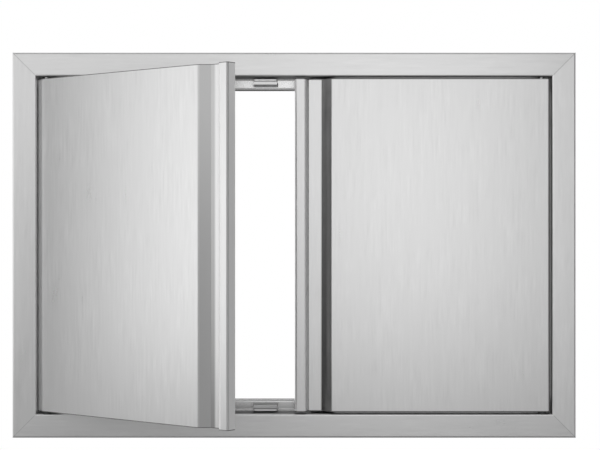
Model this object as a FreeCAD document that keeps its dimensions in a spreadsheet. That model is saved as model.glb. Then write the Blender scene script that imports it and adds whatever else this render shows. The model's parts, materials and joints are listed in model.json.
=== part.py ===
"""Stainless double access door for an outdoor kitchen island.

A mitred, folded face frame carries two flush doors on pivot pins. Each door is a folded
front with a full-height finger channel, closed by a back panel and two end plates.

Frame of the part: X to the right, Y to the back, Z up. The origin is the centre of the
wall cut-out, in the plane where the frame's outer return rests on the wall. The left door
stands open at rest, as far as door_open_angle says, and the right door is shut.
"""
import FreeCAD, Part
import math
import os
import Sketcher

doc = FreeCAD.newDocument("AccessDoor")

SIZES = {
    # Frame
    "overall_width": 775.0,
    "overall_height": 530.0,
    "face_width": 33.0,
    "flange_return": 6.0,
    "frame_gauge": 1.2,
    "frame_bend": 2.5,
    "jamb_depth": 50.0,
    "rear_lip": 15.0,
    "lip_return": 8.0,
    "lip_bend": 4.0,
    "fixing_hole": 5.2,
    "fixing_spacing": 300.0,
    "fixing_depth": 28.0,
    "gusset_arm": 60.0,
    "gusset_inset": 4.0,
    "gusset_gauge": 1.5,
    "mitre_overshoot": 5.0,
    # Doors
    "hinge_gap": 3.0,
    "end_gap": 3.0,
    "centre_gap": 2.0,
    "door_depth": 16.0,
    "skin_gauge": 1.0,
    "door_bend": 2.5,
    "lip_corner": 3.0,
    "return_width": 12.0,
    "lip_width": 15.4,
    "lip_slope": 3.6,
    "floor_width": 18.1,
    "wall_slope": 13.2,
    "channel_depth": 11.0,
    "channel_bend": 1.6,
    "lip_round": 4.0,
    "panel_gauge": 0.8,
    "panel_flange": 9.0,
    "panel_bend": 2.0,
    "plate_gauge": 1.5,
    "plate_fit": 0.2,
    "plate_clip": 2.0,
    "stiffener_place": 150.0,
    "stiffener_width": 15.0,
    "stiffener_gauge": 0.8,
    "stiffener_end": 30.0,
    "door_open_angle": 39.0,
    # Hinges
    "hinge_inset": 10.0,
    "hinge_setback": 8.0,
    "pin_size": 6.0,
    "running_fit": 0.05,
    "bush_wall": 1.45,
    "bush_flange": 11.0,
    "bush_flange_gauge": 1.0,
    "bush_tail": 3.0,
    "pin_reach": 6.0,
    "pin_tip": 1.2,
    "pin_root": 2.0,
    "washer_size": 11.0,
    "washer_play": 0.05,
    "hole_overrun": 3.0,
    # Sprung upper pin
    "pin_travel": 8.0,
    "guide_drop": 45.0,
    "guide_width": 13.0,
    "guide_height": 38.0,
    "guide_gauge": 1.2,
    "guide_reach": 10.5,
    "collar_size": 10.0,
    "collar_gauge": 2.0,
    "collar_play": 0.1,
    "spring_size": 8.6,
    "spring_wire": 0.9,
    "spring_turns": 4.5,
    "spring_play": 0.1,
    "spring_sides": 8.0,
    "lever_width": 9.0,
    "lever_gauge": 1.5,
    "lever_drop": 5.0,
    "lever_reach": 20.0,
    "lever_tail": 16.0,
    "lever_bend": 3.0,
    "slot_play": 0.8,
    # Catches
    "catch_place": 40.0,
    "catch_width": 33.0,
    "catch_height": 6.3,
    "catch_drop": 4.2,
    "catch_gauge": 1.0,
    "catch_round": 1.5,
    "catch_play": 1.5,
    "magnet_width": 28.0,
    "magnet_depth": 10.0,
    "magnet_play": 0.1,
    "striker_width": 20.0,
    "striker_height": 7.0,
    "striker_gauge": 2.0,
    "bumper_size": 4.0,
    "bumper_height": 2.3,
    "bumper_spacing": 29.0,
}


class Size:
    """A length that carries its value and its formula on the sheet."""

    def __init__(self, value, text):
        self.value = value
        self.text = text

    def __add__(self, other):
        other = as_size(other)
        return Size(self.value + other.value, f"({self.text} + {other.text})")

    def __sub__(self, other):
        other = as_size(other)
        return Size(self.value - other.value, f"({self.text} - {other.text})")

    def __mul__(self, other):
        other = as_size(other)
        return Size(self.value * other.value, f"({self.text} * {other.text})")

    def __truediv__(self, other):
        other = as_size(other)
        return Size(self.value / other.value, f"({self.text} / {other.text})")

    def __neg__(self):
        return self * -1

    __rmul__ = __mul__


def as_size(number):
    """Let plain numbers stand in formulas."""
    if isinstance(number, Size):
        return number
    return Size(float(number), f"{float(number)!r}")


def half_turn(rise, run):
    """Tangent of half the angle whose tangent is rise over run."""
    slant = (rise.value ** 2 + run.value ** 2) ** 0.5
    formula = f"((sqrt({rise.text} ^ 2 + {run.text} ^ 2) - {run.text}) / {rise.text})"
    return Size((slant - run.value) / rise.value, formula)


class SizeSheet:
    """The spreadsheet of driving dimensions, read by name."""

    def __init__(self, sizes):
        self.sheet = doc.addObject("Spreadsheet::Sheet", "Sizes")
        self.names = list(sizes)
        for row, name in enumerate(self.names, start=1):
            self.sheet.set(f"A{row}", name)
            self.sheet.set(f"B{row}", str(sizes[name]))
            self.sheet.setAlias(f"B{row}", name)
        doc.recompute()

    def __getattr__(self, name):
        return Size(float(getattr(self.sheet, name)), f"Sizes.{name}")


d = SizeSheet(SIZES)

# Planes and places that several pieces share
half_width = d.overall_width / 2
half_height = d.overall_height / 2
opening_half_width = half_width - d.face_width
opening_half_height = half_height - d.face_width
front = -d.flange_return
lip_front = front + d.jamb_depth
door_width = opening_half_width - d.hinge_gap - d.centre_gap / 2
door_half_height = opening_half_height - d.end_gap
door_edge = opening_half_width - d.hinge_gap
hinge_x = door_edge - d.hinge_inset
hinge_y = front + d.hinge_setback
panel_back = d.door_depth - d.skin_gauge
panel_front = panel_back - d.panel_gauge
plate_inner = door_half_height - d.plate_gauge
pin_radius = d.pin_size / 2
bore_radius = pin_radius + d.running_fit
bush_radius = bore_radius + d.bush_wall
bush_face = opening_half_height - d.bush_flange_gauge
jamb_outside = opening_half_height + d.frame_gauge
catch_top = opening_half_height - d.catch_drop
catch_bottom = catch_top - d.catch_height
catch_middle = catch_top - d.catch_height / 2
catch_front = front + d.door_depth + d.catch_play
guide_top = door_half_height - d.guide_drop
guide_bottom = guide_top - d.guide_gauge
lever_height = guide_bottom - d.lever_drop
collar_top = plate_inner - d.collar_play
collar_bottom = collar_top - d.collar_gauge

# Channel corners, measured from the hinge edge of a door
lip_start = door_width - d.lip_width
floor_end = lip_start - d.lip_slope
floor_start = floor_end - d.floor_width
face_end = floor_start - d.wall_slope
wall_turn = half_turn(d.channel_depth, d.wall_slope)
lip_turn = half_turn(d.channel_depth, d.lip_slope)

pieces = []


def keep(thing, label):
    """Name a finished sub-part and list it for export."""
    thing.Label = label
    pieces.append(thing)
    return thing


def bind(thing, **formulas):
    """Bind properties of an object to formulas on the sheet."""
    for name, formula in formulas.items():
        thing.setExpression(name.replace("__", "."), as_size(formula).text)
    return thing


def vector(x, y, z=0.0):
    return FreeCAD.Vector(as_size(x).value, as_size(y).value, as_size(z).value)


def new_body(name):
    return doc.addObject("PartDesign::Body", name)


def new_sketch(body, name, role, offset=0.0):
    """A sketch on one of the body's own origin planes, moved along its normal."""
    sketch = body.newObject("Sketcher::SketchObject", name)
    planes = [item for item in body.Origin.OriginFeatures if item.Role == role]
    sketch.AttachmentSupport = [(planes[0], "")]
    sketch.MapMode = "FlatFace"
    bind(sketch, AttachmentOffset__Base__z=offset)
    return sketch


def pin_point(sketch, line, end, point):
    """Hold one end of a line, or a centre, at a place given by formulas."""
    for kind, place in (("DistanceX", point[0]), ("DistanceY", point[1])):
        place = as_size(place)
        rule = Sketcher.Constraint(kind, -1, 1, line, end, place.value)
        sketch.setExpression(f"Constraints[{sketch.addConstraint(rule)}]", place.text)


def add_outline(sketch, points):
    """Draw a closed outline of straight lines through points given by formulas."""
    first = sketch.GeometryCount
    count = len(points)
    for index, point in enumerate(points):
        following = points[(index + 1) % count]
        sketch.addGeometry(Part.LineSegment(vector(*point), vector(*following)), False)
    for index, point in enumerate(points):
        after = first + (index + 1) % count
        sketch.addConstraint(Sketcher.Constraint("Coincident", first + index, 2, after, 1))
        pin_point(sketch, first + index, 1, point)


def add_circle(sketch, centre, radius):
    """Draw a circle at a place given by formulas."""
    middle = vector(*centre)
    circle = Part.Circle(middle, FreeCAD.Vector(0, 0, 1), as_size(radius).value)
    index = sketch.addGeometry(circle, False)
    pin_point(sketch, index, 3, centre)
    rule = sketch.addConstraint(Sketcher.Constraint("Radius", index, as_size(radius).value))
    sketch.setExpression(f"Constraints[{rule}]", as_size(radius).text)


def box_points(low_x, low_y, high_x, high_y):
    """Corners of an upright rectangle."""
    return [(low_x, low_y), (high_x, low_y), (high_x, high_y), (low_x, high_y)]


def pad(body, sketch, length, side="Symmetric", backwards=False):
    feature = body.newObject("PartDesign::Pad", "Pad")
    feature.Profile = sketch
    feature.SideType = side
    feature.Reversed = backwards
    bind(feature, Length=length)
    doc.recompute()
    return feature


def pocket(body, sketch, reach=None):
    """Cut a sketch out of the body, and make sure that it took material away.

    The cut goes right through, or only as far as reach to both sides of the sketch.
    """
    before = body.Shape.Volume
    feature = body.newObject("PartDesign::Pocket", "Cut")
    feature.Profile = sketch
    feature.SideType = "Symmetric"
    feature.Type = "ThroughAll"
    if reach is not None:
        feature.Type = "Length"
        bind(feature, Length=reach * 2)
    doc.recompute()
    if not body.Shape.Volume < before:
        raise RuntimeError(f"{body.Label}: {sketch.Label} cut nothing")
    return feature


def find_edges(body, axis, corners):
    """Names of the edges that run along one axis through the given corners."""
    others = [index for index in range(3) if index != axis]
    names = []
    for number, edge in enumerate(body.Tip.Shape.Edges, start=1):
        if edge.Curve.TypeId != "Part::GeomLine":
            continue
        start, end = (vertex.Point for vertex in edge.Vertexes)
        if any(abs(start[index] - end[index]) > 1e-6 for index in others):
            continue
        for corner in corners:
            wanted = [as_size(value).value for value in corner]
            if all(abs(start[index] - value) < 1e-4 for index, value in zip(others, wanted)):
                names.append(f"Edge{number}")
    if len(names) < len(corners):
        raise RuntimeError(f"{body.Label}: found {len(names)} of {len(corners)} edges")
    return names


def round_edges(body, axis, corners, radius):
    """Bend the sheet round the edges that run along one axis through the given corners."""
    picked = (body.Tip, find_edges(body, axis, corners))
    feature = body.newObject("PartDesign::Fillet", "Bend")
    feature.Base = picked
    bind(feature, Radius=radius)
    doc.recompute()


def clip_corners(body, axis, corners, size):
    """Clip a plate's corners, so that it clears the bends round it."""
    picked = (body.Tip, find_edges(body, axis, corners))
    feature = body.newObject("PartDesign::Chamfer", "Clip")
    feature.Base = picked
    bind(feature, Size=size)
    doc.recompute()


def cylinder(radius, length, x, y, z):
    """An upright cylinder from z upwards."""
    thing = doc.addObject("Part::Cylinder", "Cylinder")
    bind(thing, Radius=radius, Height=length)
    bind(thing, Placement__Base__x=x, Placement__Base__y=y, Placement__Base__z=z)
    return thing


def drill(radius, length, x, y, z):
    """The tool for a hole of this length, standing out past both of its ends."""
    return cylinder(radius, length + d.hole_overrun * 2, x, y, z - d.hole_overrun)


def cone(low_radius, high_radius, length, x, y, z):
    thing = doc.addObject("Part::Cone", "Cone")
    bind(thing, Radius1=low_radius, Radius2=high_radius, Height=length)
    bind(thing, Placement__Base__x=x, Placement__Base__y=y, Placement__Base__z=z)
    return thing


def block(low, high):
    """A box between two corners."""
    thing = doc.addObject("Part::Box", "Box")
    spans = [as_size(top) - bottom for bottom, top in zip(low, high)]
    bind(thing, Length=spans[0], Width=spans[1], Height=spans[2])
    bind(thing, Placement__Base__x=low[0], Placement__Base__y=low[1], Placement__Base__z=low[2])
    return thing


def fuse(*things):
    joined = doc.addObject("Part::MultiFuse", "Joined")
    joined.Shapes = list(things)
    joined.Refine = True
    return joined


def cut(base, tool):
    result = doc.addObject("Part::Cut", "Drilled")
    result.Base = base
    result.Tool = tool
    return result


def group(*things):
    compound = doc.addObject("Part::Compound", "Group")
    compound.Links = list(things)
    return compound


def mirror(thing, normal):
    """The same thing on the other side of a plane through the origin."""
    copy = doc.addObject("Part::Mirroring", "Mirrored")
    copy.Source = thing
    copy.Normal = FreeCAD.Vector(*normal)
    return copy


ACROSS = (1, 0, 0)
DOWN = (0, 0, 1)


# Folded frame members

def frame_section(place):
    """Section of every frame member. place turns (inward, back) into sketch coordinates."""
    gauge = d.frame_gauge
    jamb = d.face_width
    lip_end = d.face_width + d.rear_lip
    back = d.jamb_depth + d.lip_return
    return [place(inward, depth) for inward, depth in (
        (0, d.flange_return),
        (0, 0),
        (jamb, 0),
        (jamb, d.jamb_depth),
        (lip_end, d.jamb_depth),
        (lip_end, back),
        (lip_end - gauge, back),
        (lip_end - gauge, d.jamb_depth + gauge),
        (jamb - gauge, d.jamb_depth + gauge),
        (jamb - gauge, gauge),
        (gauge, gauge),
        (gauge, d.flange_return),
    )]


def bend_frame(body, axis, corners):
    """Give every fold of a frame member its inside and outside radius."""
    inside = d.frame_bend - d.frame_gauge
    round_edges(body, axis, [corners[1], corners[2], corners[8]], d.frame_bend)
    round_edges(body, axis, [corners[3], corners[9], corners[10]], inside)
    round_edges(body, axis, [corners[4]], d.lip_bend)
    round_edges(body, axis, [corners[7]], d.lip_bend - d.frame_gauge)


def mitre(body, corner_points):
    """Cut both ends at 45 degrees, as seen from the front."""
    sketch = new_sketch(body, "Mitres", "XZ_Plane")
    for points in corner_points:
        add_outline(sketch, points)
    pocket(body, sketch)


# The mitre cuts start beyond the outer edge and end inside the opening
mitre_width = half_width + d.mitre_overshoot
mitre_height = half_height + d.mitre_overshoot
mitre_depth = d.face_width + d.rear_lip + d.mitre_overshoot


def frame_rail(label, side):
    """Top (side 1) or bottom (side -1) member."""
    body = new_body(label)

    def place(inward, depth):
        return (front + depth, (half_height - inward) * side)

    corners = frame_section(place)
    sketch = new_sketch(body, "Section", "YZ_Plane")
    add_outline(sketch, corners)
    pad(body, sketch, d.overall_width)
    bend_frame(body, 0, corners)
    mitre(body, [[
        (half_width * end, half_height * side),
        (mitre_width * end, half_height * side),
        (mitre_width * end, (half_height - mitre_depth) * side),
        ((half_width - mitre_depth) * end, (half_height - mitre_depth) * side),
    ] for end in (-1, 1)])
    bushes = new_sketch(body, "BushHoles", "XY_Plane")
    for end in (-1, 1):
        add_circle(bushes, (hinge_x * end, hinge_y), bush_radius)
    pocket(body, bushes)
    return keep(body, label)


def frame_stile(label, side):
    """Right (side 1) or left (side -1) member."""
    body = new_body(label)

    def place(inward, depth):
        return ((half_width - inward) * side, front + depth)

    corners = frame_section(place)
    sketch = new_sketch(body, "Section", "XY_Plane")
    add_outline(sketch, corners)
    pad(body, sketch, d.overall_height)
    bend_frame(body, 2, corners)
    mitre(body, [[
        (half_width * side, half_height * end),
        (half_width * side, mitre_height * end),
        ((half_width - mitre_depth) * side, mitre_height * end),
        ((half_width - mitre_depth) * side, (half_height - mitre_depth) * end),
    ] for end in (-1, 1)])
    fixings = new_sketch(body, "FixingHoles", "YZ_Plane")
    for step in (-0.5, 0.5):
        add_circle(fixings, (front + d.fixing_depth, d.fixing_spacing * step), d.fixing_hole / 2)
    pocket(body, fixings)
    return keep(body, label)


def corner_gussets():
    """L plates welded behind the face, one behind each mitre."""
    body = new_body("Gusset")
    inset = d.gusset_inset
    arm = d.gusset_arm
    inner = d.face_width - d.gusset_inset
    sketch = new_sketch(body, "Outline", "XZ_Plane", -(front + d.frame_gauge))
    add_outline(sketch, [
        (half_width - inset, half_height - inset),
        (half_width - inset, half_height - arm),
        (half_width - inner, half_height - arm),
        (half_width - inner, half_height - inner),
        (half_width - arm, half_height - inner),
        (half_width - arm, half_height - inset),
    ])
    pad(body, sketch, d.gusset_gauge, "One side", backwards=True)
    right = group(body, mirror(body, DOWN))
    return keep(group(right, mirror(right, ACROSS)), "frame_corner_gussets")


# Fixed hinge parts

def hinge_bushes():
    """Flanged nylon bushes, pressed into the jamb from inside the opening."""
    tail = jamb_outside + d.bush_tail
    flange = cylinder(d.bush_flange / 2, d.bush_flange_gauge, hinge_x, hinge_y, bush_face)
    barrel = cylinder(bush_radius, tail - bush_face, hinge_x, hinge_y, bush_face)
    bore = drill(bore_radius, tail - bush_face, hinge_x, hinge_y, bush_face)
    right = cut(fuse(flange, barrel), bore)
    upper = keep(group(right, mirror(right, ACROSS)), "upper_hinge_bushes")
    keep(mirror(upper, DOWN), "lower_hinge_bushes")


# Magnetic catches on the rear lip

def catch_boxes():
    """Folded stainless boxes, welded to the rear lip, that reach forward to the doors."""
    body = new_body("CatchBox")
    wall = d.catch_gauge
    sketch = new_sketch(body, "Section", "YZ_Plane", d.catch_place)
    add_outline(sketch, box_points(catch_front, catch_bottom, lip_front, catch_top))
    add_outline(sketch, box_points(catch_front + wall, catch_bottom + wall,
                                   lip_front - wall, catch_top - wall))
    pad(body, sketch, d.catch_width)
    round_edges(body, 0, [(catch_front, catch_bottom), (catch_front, catch_top)], d.catch_round)
    round_edges(body, 0, [(catch_front + wall, catch_bottom + wall),
                          (catch_front + wall, catch_top - wall)], d.catch_round - wall)
    upper = keep(group(body, mirror(body, ACROSS)), "upper_catch_boxes")
    keep(mirror(upper, DOWN), "lower_catch_boxes")


def catch_magnets():
    """Block magnets behind the front wall of each box."""
    half_magnet = d.magnet_width / 2
    start = catch_front + d.catch_round
    right = block((d.catch_place - half_magnet, start, catch_bottom + d.catch_gauge),
                  (d.catch_place + half_magnet, start + d.magnet_depth,
                   catch_top - d.catch_gauge - d.magnet_play))
    upper = group(right, mirror(right, ACROSS))
    keep(group(upper, mirror(upper, DOWN)), "catch_magnets")


# Doors

def door_parts(side, name):
    """All pieces of one door, built shut. side is 1 for the right door, -1 for the left."""

    def place(along, depth):
        return ((door_edge - along) * side, front + depth)

    def place_x(along):
        return place(along, 0)[0]

    made = []

    def finish(thing, part):
        made.append(keep(thing, f"{name}_{part}"))

    # Folded front with the finger channel
    skin = new_body("Skin")
    gauge = d.skin_gauge
    depth = d.door_depth
    channel = d.channel_depth
    outside = [
        (d.return_width, depth), (0, depth), (0, 0), (face_end, 0), (floor_start, channel),
        (floor_end, channel), (lip_start, 0), (door_width, 0), (door_width, depth),
        (door_width - d.return_width, depth),
    ]
    inside = [
        (door_width - d.return_width, depth - gauge), (door_width - gauge, depth - gauge),
        (door_width - gauge, gauge), (lip_start + gauge * lip_turn, gauge),
        (floor_end + gauge * lip_turn, channel + gauge),
        (floor_start - gauge * wall_turn, channel + gauge),
        (face_end - gauge * wall_turn, gauge), (gauge, gauge), (gauge, depth - gauge),
        (d.return_width, depth - gauge),
    ]
    points = [place(*point) for point in outside + inside]
    sketch = new_sketch(skin, "Section", "XY_Plane")
    add_outline(sketch, points)
    pad(skin, sketch, door_half_height * 2)
    edge_radius = d.door_bend - gauge
    round_edges(skin, 2, [points[1], points[2], points[8]], d.door_bend)
    round_edges(skin, 2, [points[11], points[17], points[18]], edge_radius)
    round_edges(skin, 2, [points[7]], d.lip_corner)
    round_edges(skin, 2, [points[12]], d.lip_corner - gauge)
    round_edges(skin, 2, [points[3], points[14], points[15]], d.channel_bend)
    round_edges(skin, 2, [points[4], points[5], points[16]], d.channel_bend - gauge)
    round_edges(skin, 2, [points[6]], d.lip_round)
    round_edges(skin, 2, [points[13]], d.lip_round - gauge)
    hinge_place = (hinge_x * side, hinge_y)
    slot_half = d.lever_width / 2 + d.slot_play
    slot_low = lever_height - d.pin_travel - d.slot_play
    slot_high = lever_height + d.lever_gauge + d.slot_play
    slot_points = box_points(hinge_place[0] - slot_half, slot_low,
                             hinge_place[0] + slot_half, slot_high)
    notch = new_sketch(skin, "LeverNotch", "XZ_Plane", -(front + depth))
    add_outline(notch, slot_points)
    pocket(skin, notch, gauge)
    finish(skin, "door_skin")

    # End plates, cut to the inside of the front
    fit = d.plate_fit
    step = gauge + fit
    plate_outline = [place(*point) for point in (
        (step, step), (face_end - step * wall_turn, step),
        (floor_start - step * wall_turn, channel + step),
        (floor_end + step * lip_turn, channel + step),
        (lip_start + step * lip_turn, step), (door_width - step, step),
        (door_width - step, panel_back - fit), (step, panel_back - fit),
    )]
    for part, sign, hole in (("top_plate", 1, bore_radius), ("bottom_plate", -1, pin_radius)):
        plate = new_body("EndPlate")
        sketch = new_sketch(plate, "Outline", "XY_Plane", plate_inner * sign)
        add_outline(sketch, plate_outline)
        pad(plate, sketch, d.plate_gauge, "One side", backwards=sign < 0)
        corners = [plate_outline[index] for index in (0, 1, 4, 5, 6, 7)]
        clip_corners(plate, 2, corners, d.plate_clip)
        hole_sketch = new_sketch(plate, "PinHole", "XY_Plane")
        add_circle(hole_sketch, hinge_place, hole)
        pocket(plate, hole_sketch)
        finish(plate, f"door_{part}")

    # Back panel, flanged forward along both sides
    panel = new_body("BackPanel")
    wall = d.panel_gauge
    ahead = panel_front - d.panel_flange
    far = door_width - step
    panel_outline = [place(*point) for point in (
        (step, ahead), (step, panel_back), (far, panel_back), (far, ahead),
        (far - wall, ahead), (far - wall, panel_front), (step + wall, panel_front),
        (step + wall, ahead),
    )]
    sketch = new_sketch(panel, "Section", "XY_Plane")
    add_outline(sketch, panel_outline)
    pad(panel, sketch, (plate_inner - fit) * 2)
    round_edges(panel, 2, [panel_outline[1], panel_outline[2]], d.panel_bend)
    round_edges(panel, 2, [panel_outline[5], panel_outline[6]], d.panel_bend - wall)
    slot = new_sketch(panel, "LeverSlot", "XZ_Plane")
    add_outline(slot, slot_points)
    pocket(panel, slot)
    finish(panel, "door_back_panel")

    # Strikers for the magnets, spot welded to the panel, and the pads beside them
    catch_x = d.catch_place * side
    panel_y = front + panel_back
    strikers = []
    bumpers = []
    for end in (-1, 1):
        for across, tall, thick, shift, made_here in (
                (d.striker_width, d.striker_height, d.striker_gauge, 0, strikers),
                (d.bumper_size, d.bumper_size, d.bumper_height, -0.5, bumpers),
                (d.bumper_size, d.bumper_size, d.bumper_height, 0.5, bumpers)):
            middle_x = catch_x + d.bumper_spacing * shift
            low = (middle_x - across / 2, panel_y, catch_middle * end - tall / 2)
            high = (middle_x + across / 2, panel_y + thick, catch_middle * end + tall / 2)
            made_here.append(block(low, high))
    finish(group(*strikers), "door_strikers")
    finish(group(*bumpers), "door_bumpers")

    # Stiffener between the front and the back panel
    stiffener = new_body("Stiffener")
    near = d.stiffener_place
    wide = near + d.stiffener_width
    thick = d.stiffener_gauge
    sketch = new_sketch(stiffener, "Section", "XY_Plane")
    add_outline(sketch, [place(*point) for point in (
        (near, gauge), (wide, gauge), (wide, gauge + thick), (near + thick, gauge + thick),
        (near + thick, panel_front - thick), (wide, panel_front - thick), (wide, panel_front),
        (near, panel_front),
    )])
    pad(stiffener, sketch, (door_half_height - d.stiffener_end) * 2)
    finish(stiffener, "door_stiffener")

    # Guide for the upper pin
    guide = new_body("PinGuide")
    web_front = panel_front - d.guide_gauge
    sketch = new_sketch(guide, "Section", "YZ_Plane", hinge_place[0])
    guide_high = guide_bottom + d.guide_height
    add_outline(sketch, [
        (front + panel_front, guide_bottom), (front + panel_front, guide_high),
        (front + web_front, guide_high), (front + web_front, guide_top),
        (front + panel_front - d.guide_reach, guide_top),
        (front + panel_front - d.guide_reach, guide_bottom),
    ])
    pad(guide, sketch, d.guide_width)
    sketch = new_sketch(guide, "PinHole", "XY_Plane")
    add_circle(sketch, hinge_place, bore_radius)
    pocket(guide, sketch)
    finish(guide, "door_pin_guide")

    # Fixed lower pin, welded in the bottom plate, and its washer
    pin_low = -(opening_half_height + d.pin_reach)
    pin_start = pin_low + d.pin_tip
    shank = cylinder(pin_radius, d.pin_root - plate_inner - pin_start, *hinge_place, pin_start)
    tip = cone(pin_radius - d.pin_tip / 2, pin_radius, d.pin_tip, *hinge_place, pin_low)
    finish(fuse(shank, tip), "door_lower_pin")
    washer_low = -bush_face + d.washer_play
    washer_gauge = -door_half_height - washer_low
    ring = cylinder(d.washer_size / 2, washer_gauge, *hinge_place, washer_low)
    hole = drill(bore_radius, washer_gauge, *hinge_place, washer_low)
    finish(cut(ring, hole), "door_thrust_washer")

    # Sprung upper pin with its collar, lever and spring
    pin_high = opening_half_height + d.pin_reach
    pin_foot = lever_height - d.lever_gauge
    shank = cylinder(pin_radius, pin_high - d.pin_tip - pin_foot, *hinge_place, pin_foot)
    tip = cone(pin_radius, pin_radius - d.pin_tip / 2, d.pin_tip, *hinge_place,
               pin_high - d.pin_tip)
    finish(fuse(shank, tip), "upper_pin")
    ring = cylinder(d.collar_size / 2, d.collar_gauge, *hinge_place, collar_bottom)
    hole = drill(pin_radius, d.collar_gauge, *hinge_place, collar_bottom)
    finish(cut(ring, hole), "pin_collar")

    lever = new_body("Lever")
    lever_front = hinge_y - d.lever_width / 2
    lever_back = hinge_y + d.lever_reach
    lever_top = lever_height + d.lever_gauge
    lever_end = lever_top - d.lever_tail
    bends = [(lever_back, lever_top), (lever_back - d.lever_gauge, lever_height)]
    sketch = new_sketch(lever, "Section", "YZ_Plane", hinge_place[0])
    add_outline(sketch, [
        (lever_front, lever_top), bends[0], (lever_back, lever_end),
        (lever_back - d.lever_gauge, lever_end), bends[1], (lever_front, lever_height),
    ])
    pad(lever, sketch, d.lever_width)
    round_edges(lever, 0, [bends[0]], d.lever_bend)
    round_edges(lever, 0, [bends[1]], d.lever_bend - d.lever_gauge)
    hole = new_sketch(lever, "PinHole", "XY_Plane")
    add_circle(hole, hinge_place, pin_radius)
    pocket(lever, hole)
    finish(lever, "pin_lever")

    spring = doc.addObject("Part::Feature", "Spring")
    spring.Shape = coil()
    spring.Placement.Base = vector(*hinge_place)
    finish(spring, "pin_spring")
    return made


def coil():
    """Compression spring about the Z axis: square wire in short straight runs."""
    half_wire = d.spring_wire.value / 2
    radius = d.spring_size.value / 2 - half_wire
    low = (guide_top + d.spring_play).value + half_wire
    high = (collar_bottom - d.spring_play).value - half_wire
    runs = round(d.spring_turns.value * d.spring_sides.value)
    rings = []
    for run in range(runs + 1):
        angle = 2 * math.pi * run / d.spring_sides.value
        height = low + (high - low) * run / runs
        rings.append([
            FreeCAD.Vector((radius + out * half_wire) * math.cos(angle),
                           (radius + out * half_wire) * math.sin(angle), height + up * half_wire)
            for out, up in ((-1, -1), (1, -1), (1, 1), (-1, 1))])
    outlines = [rings[0], rings[-1]]
    for near, far in zip(rings, rings[1:]):
        for corner in range(-1, 3):
            outlines.append([near[corner], near[corner + 1], far[corner + 1]])
            outlines.append([near[corner], far[corner + 1], far[corner]])
    faces = [Part.Face(Part.makePolygon([*points, points[0]])) for points in outlines]
    return Part.makeSolid(Part.makeShell(faces))


def swing(things, angle):
    """Turn the left door's pieces about its pins, free edge towards the front."""
    doc.recompute()
    pivot = FreeCAD.Vector(-hinge_x.value, hinge_y.value, 0)
    turn = FreeCAD.Placement(FreeCAD.Vector(), FreeCAD.Rotation(FreeCAD.Vector(0, 0, 1), -angle),
                             pivot)
    for thing in things:
        for name in ("Placement.Base.x", "Placement.Base.y"):
            thing.setExpression(name, None)
        thing.Placement = turn.multiply(thing.Placement)


frame_rail("frame_top_rail", 1)
frame_rail("frame_bottom_rail", -1)
frame_stile("frame_left_stile", -1)
frame_stile("frame_right_stile", 1)
corner_gussets()
hinge_bushes()
catch_boxes()
catch_magnets()
swing(door_parts(-1, "left"), d.door_open_angle.value)
door_parts(1, "right")

doc.recompute()
for item in doc.Objects:
    if "Invalid" in item.State or "Error" in item.State:
        raise RuntimeError(f"{item.Label} did not build: {item.State}")
for piece in pieces:
    if piece.Shape.isNull() or not piece.Shape.isValid() or piece.Shape.Volume <= 0:
        raise RuntimeError(f"{piece.Label} has no valid solid")

os.makedirs("parts", exist_ok=True)
for piece in pieces:
    piece.Shape.exportStep(f"parts/{piece.Label}.step")
print(f"{len(pieces)} nodes")
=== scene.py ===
"""Stainless double access door for an outdoor kitchen, one door ajar and one shut."""
import json
import math

import bmesh
import bpy
from mathutils import Matrix, Vector


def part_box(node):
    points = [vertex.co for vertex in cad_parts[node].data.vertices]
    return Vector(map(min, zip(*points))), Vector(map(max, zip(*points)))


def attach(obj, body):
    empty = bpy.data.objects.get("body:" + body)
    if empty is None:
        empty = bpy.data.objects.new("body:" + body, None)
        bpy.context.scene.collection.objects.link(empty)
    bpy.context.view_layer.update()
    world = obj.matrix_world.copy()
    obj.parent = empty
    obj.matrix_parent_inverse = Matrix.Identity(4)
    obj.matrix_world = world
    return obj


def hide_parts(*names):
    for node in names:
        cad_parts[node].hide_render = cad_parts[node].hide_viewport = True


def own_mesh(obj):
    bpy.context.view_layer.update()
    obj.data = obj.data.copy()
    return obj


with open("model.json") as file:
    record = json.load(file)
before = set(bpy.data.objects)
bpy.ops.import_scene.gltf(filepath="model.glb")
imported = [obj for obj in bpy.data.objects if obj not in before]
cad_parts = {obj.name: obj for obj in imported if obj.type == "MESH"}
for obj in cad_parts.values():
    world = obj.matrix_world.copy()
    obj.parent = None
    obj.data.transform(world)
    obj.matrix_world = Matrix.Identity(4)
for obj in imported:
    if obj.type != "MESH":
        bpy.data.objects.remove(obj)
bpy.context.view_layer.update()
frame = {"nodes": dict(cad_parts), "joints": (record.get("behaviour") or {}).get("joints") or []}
nodes = frame["nodes"]

# Face frame
# Four members folded from brushed stainless sheet, mitred and welded at the corners. The
# brushing runs along each member, so it turns at every mitre. The jamb behind the opening
# carries painted shade on the rails and the right stile. The rear lip carries painted light
# along the top rail and right stile, and painted shade along the bottom rail.


def grey(level):
    """A neutral colour."""
    return (level, level, level, 1.0)


top_low, top_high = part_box("frame_top_rail")
front_y = top_low.y
frame_half_width = top_high.x
frame_half_height = top_high.z

# Grains are in scratches per metre along X, Y and Z.
grain_along = 24.0
grain_across = 255.0
rail_grain = (grain_along, grain_across, grain_across)
upright_grain = (grain_across, grain_across, grain_along)

steel_colour = grey(0.70)
frame_roughness = 0.285
# Painted light: the right stile is a lighter copy of the same steel as the left.
right_stile_painted_light = grey(0.74)
# Painted shade: the jamb behind the opening is coloured dark for the shade it lies in, darker
# still on the bottom rail.
jamb_painted_shade = grey(0.14)
low_jamb_painted_shade = grey(0.10)
jamb_roughness = 0.45
jamb_inset = (0.0300, 0.0315)
jamb_depth = (-0.0050, -0.0035)
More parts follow.
